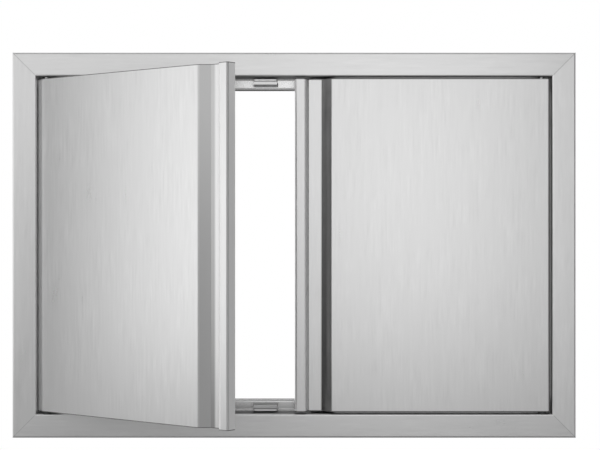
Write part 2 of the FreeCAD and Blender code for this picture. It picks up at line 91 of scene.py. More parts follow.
# Painted light on the rear lip of the top rail and right stile, and painted shade on the bottom
# rail's lip.
lip_painted_light = grey(0.94)
low_lip_painted_shade = grey(0.66)
lip_roughness = 0.24
lip_depth = (0.0330, 0.0345)
top_lip_lean = 0.09

fine_share = 0.75
coarse_scale = 0.3
cloud_scale = 5.0
patch_scale = 28.0
patch_contrast = (0.38, 0.62)
patch_strength = (0.35, 1.25)
streak_roughness = 0.04
cloud_roughness = 0.03


def new_tree(tree_kind, name, inputs, outputs):
    """An empty node tree with named sockets, and its input and output nodes."""
    tree = bpy.data.node_groups.new(name, tree_kind)
    for way, sockets in (("INPUT", inputs), ("OUTPUT", outputs)):
        for socket, kind in sockets.items():
            tree.interface.new_socket(socket, in_out=way, socket_type=f"NodeSocket{kind}")
    return tree, tree.nodes.new("NodeGroupInput"), tree.nodes.new("NodeGroupOutput")


def add_node(tree, kind, values=(), **settings):
    """Add a node, set its properties, then its unlinked inputs by name."""
    node = tree.nodes.new(kind)
    for name, value in settings.items():
        setattr(node, name, value)
    for name, value in dict(values).items():
        node.inputs[name].default_value = value
    return node


def maths(tree, operation, first, second=0.0):
    """One Math node. Each operand is a number or an output socket."""
    node = tree.nodes.new("ShaderNodeMath")
    node.operation = operation
    for socket, operand in zip(node.inputs, (first, second)):
        if isinstance(operand, (int, float)):
            socket.default_value = operand
        else:
            tree.links.new(operand, socket)
    return node.outputs[0]


def object_place(tree):
    """The Object coordinates of the surface."""
    return add_node(tree, "ShaderNodeTexCoord").outputs["Object"]


def split_place(tree, place):
    """The X, Y and Z of a place, as outputs by name."""
    split = add_node(tree, "ShaderNodeSeparateXYZ")
    tree.links.new(place, split.inputs[0])
    return split.outputs


def noise(tree, place, scale, detail):
    """The value of a Noise texture."""
    node = add_node(tree, "ShaderNodeTexNoise", {"Scale": scale, "Detail": detail})
    tree.links.new(place, node.inputs["Vector"])
    return node.outputs["Fac"]


def map_range(tree, value, given_range, wanted_range=(0.0, 1.0)):
    """A value carried over from one range to another and held within it."""
    node = add_node(tree, "ShaderNodeMapRange",
                    {"From Min": given_range[0], "From Max": given_range[1],
                     "To Min": wanted_range[0], "To Max": wanted_range[1]})
    tree.links.new(value, node.inputs["Value"])
    return node.outputs["Result"]


def brushing_group():
    """Fine scratches in strokes that come and go in patches, over slow cloudy wear."""
    tree, given, result = new_tree(
        "ShaderNodeTree", "Brushing",
        {"Colour": "Color", "Grain": "Vector", "Streaks": "Float", "Clouds": "Float",
         "Roughness": "Float"},
        {"Colour": "Color", "Roughness": "Float", "Height": "Float"})
    place = object_place(tree)
    scaled = add_node(tree, "ShaderNodeVectorMath", operation="MULTIPLY")
    tree.links.new(place, scaled.inputs[0])
    tree.links.new(given.outputs["Grain"], scaled.inputs[1])
    fine = noise(tree, scaled.outputs[0], scale=1.0, detail=2.0)
    coarse = noise(tree, scaled.outputs[0], coarse_scale, detail=2.0)
    streak = maths(tree, "ADD", maths(tree, "MULTIPLY", fine, fine_share),
                   maths(tree, "MULTIPLY", coarse, 1.0 - fine_share))
    streak = maths(tree, "SUBTRACT", streak, 0.5)
    patches = noise(tree, place, patch_scale, detail=1.0)
    strength = map_range(tree, patches, patch_contrast, patch_strength)
    streak = maths(tree, "MULTIPLY", streak, strength)
    cloud = maths(tree, "SUBTRACT", noise(tree, place, cloud_scale, detail=2.0), 0.5)
    shade = maths(tree, "ADD", maths(tree, "MULTIPLY", streak, given.outputs["Streaks"]),
                  maths(tree, "MULTIPLY", cloud, given.outputs["Clouds"]))
    tinted = add_node(tree, "ShaderNodeVectorMath", operation="SCALE")
    tree.links.new(given.outputs["Colour"], tinted.inputs[0])
    tree.links.new(maths(tree, "ADD", shade, 1.0), tinted.inputs["Scale"])
    rough = maths(tree, "ADD", given.outputs["Roughness"],
                  maths(tree, "MULTIPLY", streak, streak_roughness))
    rough = maths(tree, "ADD", rough, maths(tree, "MULTIPLY", cloud, cloud_roughness))
    tree.links.new(tinted.outputs[0], result.inputs["Colour"])
    tree.links.new(rough, result.inputs["Roughness"])
    tree.links.new(streak, result.inputs["Height"])
    return tree


brushing = brushing_group()


def new_material(name):
    """A material with one Principled shader, and that shader."""
    material = bpy.data.materials.new(name)
    material.use_nodes = True
    return material, material.node_tree.nodes["Principled BSDF"]


def brushed_steel(name, grain, roughness=frame_roughness, colour=steel_colour,
                  streaks=0.24, clouds=0.04, depth=0.000008):
    """Brushed stainless sheet. depth is that of the scratches, in metres."""
    material, shader = new_material(name)
    tree = material.node_tree
    shader.inputs["Metallic"].default_value = 1.0
    effect = add_node(tree, "ShaderNodeGroup", node_tree=brushing)
    for socket, value in (("Colour", colour), ("Grain", grain), ("Streaks", streaks),
                          ("Clouds", clouds), ("Roughness", roughness)):
        effect.inputs[socket].default_value = value
    tree.links.new(effect.outputs["Colour"], shader.inputs["Base Color"])
    tree.links.new(effect.outputs["Roughness"], shader.inputs["Roughness"])
    bump = add_node(tree, "ShaderNodeBump", {"Strength": 1.0, "Distance": depth})
    tree.links.new(effect.outputs["Height"], bump.inputs["Height"])
    tree.links.new(bump.outputs["Normal"], shader.inputs["Normal"])
    return material


def mix_in(material, mask, colour=None, roughness=None):
    """Mix another colour and roughness over a material where the mask is 1, for painted shade or
    painted light.
    """
    tree = material.node_tree
    shader = tree.nodes["Principled BSDF"]
    for socket, value, kind in (("Base Color", colour, "RGBA"),
                                ("Roughness", roughness, "FLOAT")):
        if value is None:
            continue
        mix = add_node(tree, "ShaderNodeMix", data_type=kind)
        sockets = [item for item in mix.inputs if item.enabled]
        tree.links.new(mask, sockets[0])
        tree.links.new(shader.inputs[socket].links[0].from_socket, sockets[1])
        sockets[2].default_value = value
        result = [item for item in mix.outputs if item.enabled][0]
        tree.links.new(result, shader.inputs[socket])


def lean_lip(material, lip, height, lean):
    """Turn the lip's surface a little downwards, as a lip folded just short of square."""
    tree = material.node_tree
    normal = tree.nodes["Principled BSDF"].inputs["Normal"]
    bump = add_node(tree, "ShaderNodeBump", {"Distance": 1.0})
    tree.links.new(maths(tree, "MULTIPLY", height, lean), bump.inputs["Height"])
    tree.links.new(lip, bump.inputs["Strength"])
    tree.links.new(normal.links[0].from_socket, bump.inputs["Normal"])
    tree.links.new(bump.outputs["Normal"], normal)


def finish_inside(material, axis, half_span, jamb_shade_tone=jamb_painted_shade, lip_painted_tone=lip_painted_light,
                  lean=0.0):
    """Paint shade on the jamb and light or shade on the rear lip, behind a face that is brushed;
    the jamb is also rougher and the lip smoother.
    """
    tree = material.node_tree
    place = split_place(tree, object_place(tree))
    across = maths(tree, "ABSOLUTE", place[axis])
    inside = map_range(tree, across, [half_span - inset for inset in jamb_inset])
    jamb = maths(tree, "MULTIPLY", inside, map_range(tree, place["Y"], jamb_depth))
    mix_in(material, jamb, jamb_shade_tone, jamb_roughness)
    lip = map_range(tree, place["Y"], lip_depth)
    mix_in(material, lip, lip_painted_tone, lip_roughness)
    if lean:
        lean_lip(material, lip, place["Z"], lean)


def dress(material, *names):
    """Give CAD pieces a finish."""
    for name in names:
        nodes[name].data.materials.clear()
        nodes[name].data.materials.append(material)


rail_steel = brushed_steel("rail_steel", rail_grain)
low_rail_shaded_steel = brushed_steel("low_rail_shaded_steel", rail_grain)
upright_steel = brushed_steel("upright_steel", upright_grain)
stile_steel = brushed_steel("stile_steel", upright_grain, colour=right_stile_painted_light)
finish_inside(rail_steel, "Z", frame_half_height, lean=top_lip_lean)
# The bottom rail is a shaded copy: darker painted shade on its jamb and painted shade on its
# lip.
finish_inside(low_rail_shaded_steel, "Z", frame_half_height, low_jamb_painted_shade, low_lip_painted_shade)
finish_inside(stile_steel, "X", frame_half_width)
dress(rail_steel, "frame_top_rail")
dress(low_rail_shaded_steel, "frame_bottom_rail")
dress(upright_steel, "frame_left_stile")
dress(stile_steel, "frame_right_stile")

# Mitre welds
# The members are welded along their mitres. On the face the weld is ground flush and
# leaves a faint dull line. Behind, along the jamb's outer corner, the bead is left as laid.

member_face = 0.033
member_return = 0.008
sheet = 0.0012
outer_bend = 0.0025
jamb_back = top_high.y - member_return
corners = [(across, up) for across in (-1, 1) for up in (-1, 1)]
seam_steps = 6
seam_half_width = 0.0004
seam_rise = 0.00003
seam_sink = 0.0003


def new_piece(name, points, faces, material):
    """A mesh piece whose points are already in place."""
    mesh = bpy.data.meshes.new(name)
    mesh.from_pydata([tuple(point) for point in points], [], faces)
    mesh.materials.append(material)
    thing = bpy.data.objects.new(name, mesh)
    bpy.context.scene.collection.objects.link(thing)
    return thing


def turn_outwards(thing):
    """Merge doubled points and point every face away from the solid."""
    mesh = bmesh.new()
    mesh.from_mesh(thing.data)
    bmesh.ops.remove_doubles(mesh, verts=mesh.verts, dist=1e-7)
    bmesh.ops.recalc_face_normals(mesh, faces=mesh.faces)
    mesh.to_mesh(thing.data)
    mesh.free()


def bar_faces(first, rings, around):
    """Faces of a closed bar: its rings of points in order, then its two ends."""
    faces = []
    for low in range(first, first + around * (rings - 1), around):
        for corner in range(around):
            following = (corner + 1) % around
            faces.append((low + corner, low + following, low + around + following,
                          low + around + corner))
    last = first + around * (rings - 1)
    return faces + [tuple(range(first, first + around)), tuple(range(last, last + around))]


def seam_stations():
    """Inset, depth and outward slope of the seam, from the outer edge to the jamb's back."""
    stations = []
    for step in range(1, seam_steps + 1):
        angle = math.pi / 2 * step / seam_steps
        stations.append((outer_bend * (1 - math.cos(angle)),
                         front_y + outer_bend * (1 - math.sin(angle)), math.cos(angle)))
    for step in range(seam_steps + 1):
        angle = math.pi / 2 * step / seam_steps
        stations.append((member_face - outer_bend * (1 - math.sin(angle)),
                         front_y + outer_bend * (1 - math.cos(angle)), -math.sin(angle)))
    stations.append((member_face, jamb_back - sheet, -1.0))
    return stations


def mitre_seams():
    """One thin closed strip along each of the four mitres."""
    points, faces = [], []
    stations = seam_stations()
    side = Vector((seam_half_width, 0, -seam_half_width)) / math.sqrt(2)
    for across, up in corners:
        faces += bar_faces(len(points), rings=len(stations), around=5)
        for inset, depth, slope in stations:
            x = frame_half_width - inset
            z = frame_half_height - inset
            rise = seam_rise * (1 - abs(slope))
            sink = seam_sink * (1 - abs(slope))
            out = slope * seam_rise
            middle = Vector((x + out, depth - rise, z + out))
            sunk = Vector((x - slope * seam_sink, depth + sink, z - slope * seam_sink))
            fall = Vector((slope, 0, slope)) * (-seam_half_width / math.sqrt(2))
            for point in (middle, middle + side + fall, sunk + side + fall,
                          sunk - side + fall, middle - side + fall):
                points.append((across * point.x, point.y, up * point.z))
    return points, faces


def even_grain(scratches):
    """A grain that is the same along X, Y and Z."""
    return (scratches, scratches, scratches)


ground_weld = brushed_steel("ground_weld", even_grain(1500.0), roughness=0.45,
                            colour=grey(0.54), streaks=0.3, clouds=0.2, depth=0.00003)
seams = new_piece("mitre_seams", *mitre_seams(), ground_weld)
turn_outwards(seams)
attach(seams, "frame")


def end_tree(tree, shape, finish, result):
    """End a geometry tree in real faces that carry their finish."""
    real = add_node(tree, "GeometryNodeRealizeInstances")
    tree.links.new(shape, real.inputs["Geometry"])
    painted = add_node(tree, "GeometryNodeSetMaterial")
    tree.links.new(real.outputs["Geometry"], painted.inputs["Geometry"])
    tree.links.new(finish, painted.inputs["Material"])
    tree.links.new(painted.outputs["Geometry"], result)


def bead_tree():
    """Overlapping weld scales along the edges of a wire."""
    tree, given, result = new_tree(
        "GeometryNodeTree", "Weld bead",
        {"Wire": "Geometry", "Pitch": "Float", "Scale length": "Float", "Bead size": "Float",
         "Uneven": "Float", "Seed": "Int", "Finish": "Material"},
        {"Bead": "Geometry"})
    link = tree.links.new
    path = add_node(tree, "GeometryNodeMeshToCurve")
    link(given.outputs["Wire"], path.inputs["Mesh"])
    paces = add_node(tree, "GeometryNodeResampleCurve", mode="LENGTH")
    link(path.outputs["Curve"], paces.inputs["Curve"])
    link(given.outputs["Pitch"], paces.inputs["Length"])
    scale = add_node(tree, "GeometryNodeMeshIcoSphere", {"Radius": 1.0, "Subdivisions": 2})
    tangent = add_node(tree, "GeometryNodeInputTangent")
    along = add_node(tree, "FunctionNodeAlignRotationToVector", axis="X")
    link(tangent.outputs["Tangent"], along.inputs["Vector"])
    vary = add_node(tree, "FunctionNodeRandomValue", data_type="FLOAT")
    link(maths(tree, "SUBTRACT", 1.0, given.outputs["Uneven"]), vary.inputs["Min"])
    link(maths(tree, "ADD", 1.0, given.outputs["Uneven"]), vary.inputs["Max"])
    link(given.outputs["Seed"], vary.inputs["Seed"])
    size = add_node(tree, "ShaderNodeCombineXYZ")
    link(given.outputs["Scale length"], size.inputs["X"])
    link(given.outputs["Bead size"], size.inputs["Y"])
    link(given.outputs["Bead size"], size.inputs["Z"])
    varied = add_node(tree, "ShaderNodeVectorMath", operation="SCALE")
    link(size.outputs[0], varied.inputs[0])
    link(vary.outputs["Value"], varied.inputs["Scale"])
    place = add_node(tree, "GeometryNodeInstanceOnPoints")
    link(paces.outputs["Curve"], place.inputs["Points"])
    link(scale.outputs["Mesh"], place.inputs["Instance"])
    link(along.outputs["Rotation"], place.inputs["Rotation"])
    link(varied.outputs["Vector"], place.inputs["Scale"])
    end_tree(tree, place.outputs["Instances"], given.outputs["Finish"], result.inputs["Bead"])
    return tree


def grow(name, points, edges, tree, inputs):
    """Run a tree over points and edges, and keep the result as a plain mesh."""
    mesh = bpy.data.meshes.new(name)
    mesh.from_pydata([tuple(point) for point in points], edges, [])
    thing = bpy.data.objects.new(name, mesh)
    bpy.context.scene.collection.objects.link(thing)
    modifier = thing.modifiers.new("growth", "NODES")
    modifier.node_group = tree
    for socket in tree.interface.items_tree:
        if socket.name in inputs:
            modifier[socket.identifier] = inputs[socket.name]
    shape = bpy.context.evaluated_depsgraph_get()
    grown = bpy.data.meshes.new_from_object(thing.evaluated_get(shape), depsgraph=shape)
    thing.modifiers.remove(modifier)
    thing.data = grown
    return thing


bead_steel = brushed_steel("bead_steel", even_grain(700.0), roughness=0.38,
                           colour=(0.42, 0.40, 0.38, 1.0), streaks=0.5, clouds=0.4,
                           depth=0.00004)
weld_bead = bead_tree()


def lay_bead(name, runs, pitch, scale_length, bead_size, seed):
    """Weld bead along straight runs, each given by its two ends."""
    points = [end for run in runs for end in run]
    edges = [(first, first + 1) for first in range(0, len(points), 2)]
    return grow(name, points, edges, weld_bead,
                {"Pitch": pitch, "Scale length": scale_length, "Bead size": bead_size,
                 "Uneven": 0.15, "Seed": seed, "Finish": bead_steel})


bead_back_gap = 0.003
bead_corner_x = frame_half_width - member_face + sheet
bead_corner_z = frame_half_height - member_face + sheet
bead_ends = (front_y + outer_bend + sheet, jamb_back - bead_back_gap)
beads = lay_bead("mitre_beads", [[(across * bead_corner_x, y, up * bead_corner_z)
                                  for y in bead_ends] for across, up in corners],
                 pitch=0.0013, scale_length=0.0009, bead_size=0.0013, seed=4)
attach(beads, "frame")

# Corner gussets
# L plates cut from mill-finish sheet, one behind each mitre. Each is held by short tack welds
# along both edges of both its arms.

mill_steel = brushed_steel("mill_steel", even_grain(60.0), roughness=0.42, colour=grey(0.58),
                           streaks=0.12, clouds=0.2)
dress(mill_steel, "frame_corner_gussets")

gusset_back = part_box("frame_corner_gussets")[1].y
tack_inset = 0.004
tack_insets = (tack_inset, member_face - tack_inset)
tack_places = (0.036, 0.052)
tack_length = 0.006
tack_drop = 0.0004


def gusset_tack(across, up, place, inset, upright):
    """The two ends of a tack, from its place along an arm and its inset from the outer edge."""
    ends = []
    for reach in (place, place + tack_length):
        x, z = (inset, reach) if upright else (reach, inset)
        ends.append((across * (frame_half_width - x), gusset_back - tack_drop,
                     up * (frame_half_height - z)))
    return ends


tacks = lay_bead("gusset_tacks", [gusset_tack(across, up, place, inset, upright)
                                  for across, up in corners for place in tack_places
                                  for upright in (True, False) for inset in tack_insets],
                 pitch=0.0009, scale_length=0.0008, bead_size=0.0009, seed=9)
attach(tacks, "frame")

# Hinge bushes
# Flanged bushes moulded in black nylon and pressed into the jamb. The pivot pins turn in them,
# and a washer of the same nylon lies under each door.


def mottled(name, scale, detail, dark, light, roughness):
    """A moulded material of two close tones, with its shader and its pattern."""
    material, shader = new_material(name)
    tree = material.node_tree
    pattern = noise(tree, object_place(tree), scale, detail)
    ramp = add_node(tree, "ShaderNodeValToRGB")
    for stop, tone in zip(ramp.color_ramp.elements, (dark, light)):
        stop.color = tone
    tree.links.new(pattern, ramp.inputs["Fac"])
    tree.links.new(ramp.outputs["Color"], shader.inputs["Base Color"])
    shader.inputs["Roughness"].default_value = roughness
    return material, shader, pattern


nylon = mottled("black_nylon", scale=400.0, detail=2.0, dark=grey(0.030), light=grey(0.055),
                roughness=0.45)[0]
dress(nylon, "upper_hinge_bushes", "lower_hinge_bushes", "left_door_thrust_washer",
      "right_door_thrust_washer")

# Magnetic catches
# Boxes folded from stainless sheet and tacked to the rear lip at their sides, each with a
# ferrite block magnet behind its front. An upturned edge stiffens the front along the jamb.

catch_roughness = 0.38
catch_centre = 0.040
lip_front = jamb_back - sheet
catch_low, catch_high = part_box("upper_catch_boxes")
catch_half_width = catch_high.x - catch_centre
catch_tack_inset = 0.001
catch_tack_gap = 0.0001
edge_side_gap = 0.0004
edge_rounding = 0.0008
edge_shares = (0.35, 0.9, 1.0)
edge_thickness = 0.0011
edge_set_back = 0.0003
edge_root = 0.0002
edge_rise = 0.0022
edge_crown = 0.00002

# Painted light on the upper boxes and painted shade on the lower ones: the same steel in two
# tones.
upper_catch_painted_light = brushed_steel("upper_catch_painted_light", rail_grain, catch_roughness, grey(0.86))
lower_catch_painted_shade = brushed_steel("lower_catch_painted_shade", rail_grain, catch_roughness, grey(0.52))
dress(upper_catch_painted_light, "upper_catch_boxes")
dress(lower_catch_painted_shade, "lower_catch_boxes")

runs = []
for across, up in corners:
    for side in (-1, 1):
        x = across * catch_centre + side * (catch_half_width + catch_tack_gap)
        runs.append([(x, lip_front, up * (catch_low.z + catch_tack_inset)),
                     (x, lip_front, up * (catch_high.z - catch_tack_inset))])
tacks = lay_bead("catch_tacks", runs, pitch=0.0008, scale_length=0.0007, bead_size=0.0008,
                 seed=2)
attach(tacks, "frame")


def upturned_edges():
    """The edge that stands up along each catch box's front, ground round at both its ends."""
    x_low = catch_centre - catch_half_width + edge_side_gap
    x_high = catch_centre + catch_half_width - edge_side_gap
    z_low, z_high = catch_high.z - edge_root, catch_high.z + edge_rise
    back = catch_low.y + edge_set_back + edge_thickness
    ends = [(step * edge_rounding, share) for step, share in enumerate(edge_shares)]
    stations = [(x_low + inset, share) for inset, share in ends]
    stations += [(x_high - inset, share) for inset, share in reversed(ends)]
    points, faces = [], []
    for across, up in corners:
        faces += bar_faces(len(points), rings=len(stations), around=5)
        for x, share in stations:
            front = back - edge_thickness * share
            points += [(across * x, y, up * z) for y, z in
                       ((front, z_low), (front - edge_crown * share, (z_low + z_high) / 2),
                        (front, z_high), (back, z_high), (back, z_low))]
    return points, faces


edge_steel = brushed_steel("edge_steel", rail_grain, catch_roughness, grey(0.90))
edges_up = new_piece("catch_box_edges", *upturned_edges(), edge_steel)
turn_outwards(edges_up)
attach(edges_up, "frame")

ferrite = brushed_steel("ferrite", even_grain(300.0), roughness=0.6,
                        colour=(0.05, 0.05, 0.055, 1.0))
ferrite.node_tree.nodes["Principled BSDF"].inputs["Metallic"].default_value = 0.0
dress(ferrite, "catch_magnets")

# Doors
# Each door is one folded front with a finger channel, closed by end plates and a back panel.
# The brushing runs upright over the front. The channel carries painted shade, darker towards its
# foot, and the folds at the edges carry painted shade too; the channel's rim and the free edge
# carry a painted highlight.

# Bands are given along the door's width, in metres from its hinge side. A band rises between
# its first two values and falls between its last two.
# Painted shade: the channel wall is darker, more so towards the foot, and on the right door
# towards both ends of its mouth.
wall_band = {"left": (0.2993, 0.3027, 0.3180, 0.3212), "right": (0.3048, 0.3083, 0.3130, 0.3150)}
wall_painted_shade = {"left": grey(0.49), "right": grey(0.36)}
foot_band = {"left": (0.3128, 0.3136, 0.3180, 0.3212), "right": (0.3048, 0.3083, 0.3130, 0.3150)}
foot_height = {"left": (0.20, -0.20), "right": (0.15, -0.22)}
foot_painted_shade = {"left": grey(0.31), "right": grey(0.125)}
mouth_band = (0.2990, 0.3010, 0.3075, 0.3110)
mouth_height = (0.14, 0.21)
mouth_painted_shade = grey(0.18)
channel_depth = (0.0075, 0.0065)
# Painted highlight: the channel's rim and the free edge are coloured lighter than the face, and
# rougher, less so on the left door's edge.
rim_band = {"left": (0.3314, 0.3322, 0.3383, 0.3393), "right": (0.3314, 0.3322, 0.3365, 0.3375)}
rim_painted_highlight = grey(1.0)
rim_roughness = 0.6
edge_start = (0.3486, 0.3492)
edge_painted_highlight = {"left": grey(0.88), "right": grey(1.0)}
# Painted shade on the left door's free-edge bend, along the top and bottom folds and along the
# hinge fold.
edge_bend_start = (0.3480, 0.3488)
edge_bend_depth = (-0.0030, -0.0040)
edge_bend_painted_shade = grey(0.60)
fold_inset = (0.0011, 0.0007)
fold_painted_shade = grey(0.17)
hinge_fold_end = (0.0014, 0.0008)
hinge_fold_painted_shade = grey(0.24)

shut_low, shut_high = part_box("right_door_skin")
joints = {joint["name"]: joint for joint in frame["joints"]}
open_angle = math.radians(-joints["left_door_hinge"]["range_deg"][0])
hinge_place = Vector(joints["left_door_hinge"]["pos_m"])


def on_door(side, point):
    """Where a point given for the shut right door comes to lie on either door at rest."""
    point = Vector(point)
    if side == "left":
        point = Vector((-point.x, point.y, point.z)) - hinge_place
        point.rotate(Matrix.Rotation(-open_angle, 3, "Z"))
        point += hinge_place
    return point


def band_mask(tree, value, band):
    """A mask that is 1 over a band of values and falls off at both its sides."""
    return maths(tree, "MULTIPLY", map_range(tree, value, band[:2]),
                 map_range(tree, value, (band[3], band[2])))


def skin_steel(side):
    """Upright brushing with painted shade in the channel and on the folds, and a painted
    highlight on the rim and free edge.
    """
    material = brushed_steel(f"{side}_skin_steel", upright_grain)
    tree = material.node_tree
    shut = add_node(tree, "ShaderNodeVectorRotate", {"Axis": (0, 0, 1)},
                    rotation_type="AXIS_ANGLE")
    tree.links.new(object_place(tree), shut.inputs["Vector"])
    if side == "left":
        shut.inputs["Center"].default_value = hinge_place
        shut.inputs["Angle"].default_value = open_angle
    place = split_place(tree, shut.outputs[0])
    along = maths(tree, "SUBTRACT", shut_high.x, maths(tree, "ABSOLUTE", place["X"]))
    high = maths(tree, "ABSOLUTE", place["Z"])
    front = map_range(tree, place["Y"], channel_depth)
    wall = maths(tree, "MULTIPLY", band_mask(tree, along, wall_band[side]), front)
    mix_in(material, wall, wall_painted_shade[side])
    foot = maths(tree, "MULTIPLY", band_mask(tree, along, foot_band[side]), front)
    foot = maths(tree, "MULTIPLY", foot, map_range(tree, place["Z"], foot_height[side]))
    mix_in(material, foot, foot_painted_shade[side])
    if side == "right":
        mouth = maths(tree, "MULTIPLY", band_mask(tree, along, mouth_band), front)
        mouth = maths(tree, "MULTIPLY", mouth, map_range(tree, high, mouth_height))
        mix_in(material, mouth, mouth_painted_shade)
    mix_in(material, band_mask(tree, along, rim_band[side]), rim_painted_highlight, rim_roughness)
    mix_in(material, map_range(tree, along, edge_start), edge_painted_highlight[side], rim_roughness)
    if side == "left":
        bend = maths(tree, "MULTIPLY", map_range(tree, along, edge_bend_start),
                     map_range(tree, place["Y"], edge_bend_depth))
        mix_in(material, bend, edge_bend_painted_shade, rim_roughness)
    fold = map_range(tree, high, [shut_high.z - inset for inset in fold_inset])
    mix_in(material, fold, fold_painted_shade)
    mix_in(material, map_range(tree, along, hinge_fold_end), hinge_fold_painted_shade)
    return material


for side in ("left", "right"):
    dress(skin_steel(side), f"{side}_door_skin")
    dress(upright_steel, f"{side}_door_top_plate", f"{side}_door_bottom_plate",
          f"{side}_door_back_panel")
    dress(mill_steel, f"{side}_door_stiffener", f"{side}_door_pin_guide")

# Spot welds
# The back panel is spot welded under the skin's rear returns, and each weld leaves a shallow
# round dent with a raised rim, in a row up each side.

spot_radius = 0.0023
spot_rim = 0.00035
spot_rise = 0.00008
spot_dent_edge = spot_rise * 0.3
spot_dent_middle = spot_rise * 0.2
spot_root = -0.0002
spot_places = 9
spot_margin = 0.025
return_half = 0.0055


def turned(name, profile, sides, material):
    """A solid of revolution about Z from its profile of radius and height, low end first."""
    points, faces, rings = [], [], []
    for radius, height in profile:
        if radius == 0:
            rings.append([len(points)])
            points.append((0.0, 0.0, height))
            continue
        rings.append(list(range(len(points), len(points) + sides)))
        points += [(radius * math.cos(math.tau * step / sides),
                    radius * math.sin(math.tau * step / sides), height)
                   for step in range(sides)]
    for low, high in zip(rings, rings[1:]):
        for step in range(sides):
            around = [low[step % len(low)], low[(step + 1) % len(low)],
                      high[(step + 1) % len(high)], high[step % len(high)]]
            faces.append(tuple(dict.fromkeys(around)))
    return new_piece(name, points, faces, material)


def stamp_tree():
    """Copies of one small solid at points, all turned the same way."""
    tree, given, result = new_tree(
        "GeometryNodeTree", "Stamp",
        {"Places": "Geometry", "Pattern": "Object", "Turn": "Vector", "Uneven": "Float",
         "Seed": "Int", "Finish": "Material"},
        {"Stamps": "Geometry"})
    link = tree.links.new
    pattern = add_node(tree, "GeometryNodeObjectInfo")
    link(given.outputs["Pattern"], pattern.inputs["Object"])
    turn = add_node(tree, "FunctionNodeEulerToRotation")
    link(given.outputs["Turn"], turn.inputs["Euler"])
    vary = add_node(tree, "FunctionNodeRandomValue", {"Max": 1.0}, data_type="FLOAT")
    link(maths(tree, "SUBTRACT", 1.0, given.outputs["Uneven"]), vary.inputs["Min"])
    link(given.outputs["Seed"], vary.inputs["Seed"])
    place = add_node(tree, "GeometryNodeInstanceOnPoints")
    link(given.outputs["Places"], place.inputs["Points"])
    link(pattern.outputs["Geometry"], place.inputs["Instance"])
    link(turn.outputs["Rotation"], place.inputs["Rotation"])
    link(vary.outputs["Value"], place.inputs["Scale"])
    end_tree(tree, place.outputs["Instances"], given.outputs["Finish"],
             result.inputs["Stamps"])
    return tree


stamping = stamp_tree()
spot_steel = brushed_steel("spot_steel", even_grain(900.0), roughness=0.36,
                           colour=(0.50, 0.48, 0.46, 1.0), streaks=0.3, clouds=0.2)
spot = turned("spot_pattern", [(0, spot_root), (spot_radius, spot_root), (spot_radius, 0.0),
                               (spot_radius - spot_rim, spot_rise),
                               (spot_radius - 2 * spot_rim, spot_dent_edge),
                               (0, spot_dent_middle)], sides=20, material=spot_steel)
back_turn = {"right": (math.radians(-90), 0, 0), "left": (math.radians(-90), 0, -open_angle)}
spot_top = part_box("right_door_back_panel")[1].z - spot_margin
for side in ("left", "right"):
    points = [on_door(side, (x, shut_high.y, spot_top * (2 * step / (spot_places - 1) - 1)))
              for x in (shut_high.x - return_half, shut_low.x + return_half)
              for step in range(spot_places)]
    spots = grow(f"{side}_door_spot_welds", points, [], stamping,
                 {"Pattern": spot, "Turn": back_turn[side], "Uneven": 0.12, "Seed": 5,
                  "Finish": spot_steel})
    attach(spots, f"{side}_door")
bpy.data.objects.remove(spot)

# End plate welds
# The end plates are let in flush and tacked to the skin and the back panel from above
# and from below.

plate_tack_length = 0.008
plate_tack_places = (0.110, 0.200, 0.290)
plate_tack_inset = 0.0011
plate_tack_drop = 0.0003
for side in ("left", "right"):
    runs = [[on_door(side, (x + shift, y, up * (shut_high.z - plate_tack_drop)))
             for shift in (0, plate_tack_length)]
            for up in (-1, 1) for x in plate_tack_places
            for y in (shut_low.y + plate_tack_inset, shut_high.y - plate_tack_inset)]
    tacks = lay_bead(f"{side}_door_plate_tacks", runs, pitch=0.0010, scale_length=0.0008,
                     bead_size=0.0007, seed=3)
    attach(tacks, f"{side}_door")

# Strikers
# Small plates of zinc-plated steel, spot welded to the back panel near its top and bottom,
# where the magnets pull them.

zinc = brushed_steel("zinc_plate", even_grain(260.0), roughness=0.30,
                     colour=(0.50, 0.51, 0.54, 1.0), streaks=0.25, clouds=0.5, depth=0.00001)
dress(zinc, "left_door_strikers", "right_door_strikers")

# Bumpers
# Domes moulded in soft grey rubber and stuck on the back panel beside each striker, so that
# the door shuts quietly.

bumper_radius = 0.0021
bumper_foot_radius = bumper_radius * 0.96
bumper_foot = 0.0002
bumper_wall = 0.0009
bumper_crown = 0.0014
pad_radius = 0.002
rubber, shader, bloom = mottled("grey_rubber", scale=900.0, detail=3.0, dark=grey(0.10),
                                light=grey(0.15), roughness=0.7)
bump = add_node(rubber.node_tree, "ShaderNodeBump", {"Strength": 0.6, "Distance": 0.00003})
rubber.node_tree.links.new(bloom, bump.inputs["Height"])
rubber.node_tree.links.new(bump.outputs["Normal"], shader.inputs["Normal"])

profile = [(0, 0.0), (bumper_foot_radius, 0.0), (bumper_radius, bumper_foot),
           (bumper_radius, bumper_wall)]
profile += [(bumper_radius * math.cos(angle), bumper_wall + bumper_crown * math.sin(angle))
            for angle in (math.radians(degrees) for degrees in range(15, 90, 15))]
profile.append((0, bumper_wall + bumper_crown))
dome = turned("bumper_pattern", profile, sides=24, material=rubber)
pad_low, pad_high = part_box("right_door_bumpers")
for side in ("left", "right"):
    points = [on_door(side, (x, pad_low.y, up * (pad_high.z - pad_radius)))
              for up in (-1, 1) for x in (pad_low.x + pad_radius, pad_high.x - pad_radius)]
    bumpers = grow(f"{side}_door_bumper_domes", points, [], stamping,
                   {"Pattern": dome, "Turn": back_turn[side], "Uneven": 0.0, "Seed": 1,
                    "Finish": rubber})
    for face in bumpers.data.polygons:
        face.use_smooth = True
    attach(bumpers, f"{side}_door")
    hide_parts(f"{side}_door_bumpers")
bpy.data.objects.remove(dome)

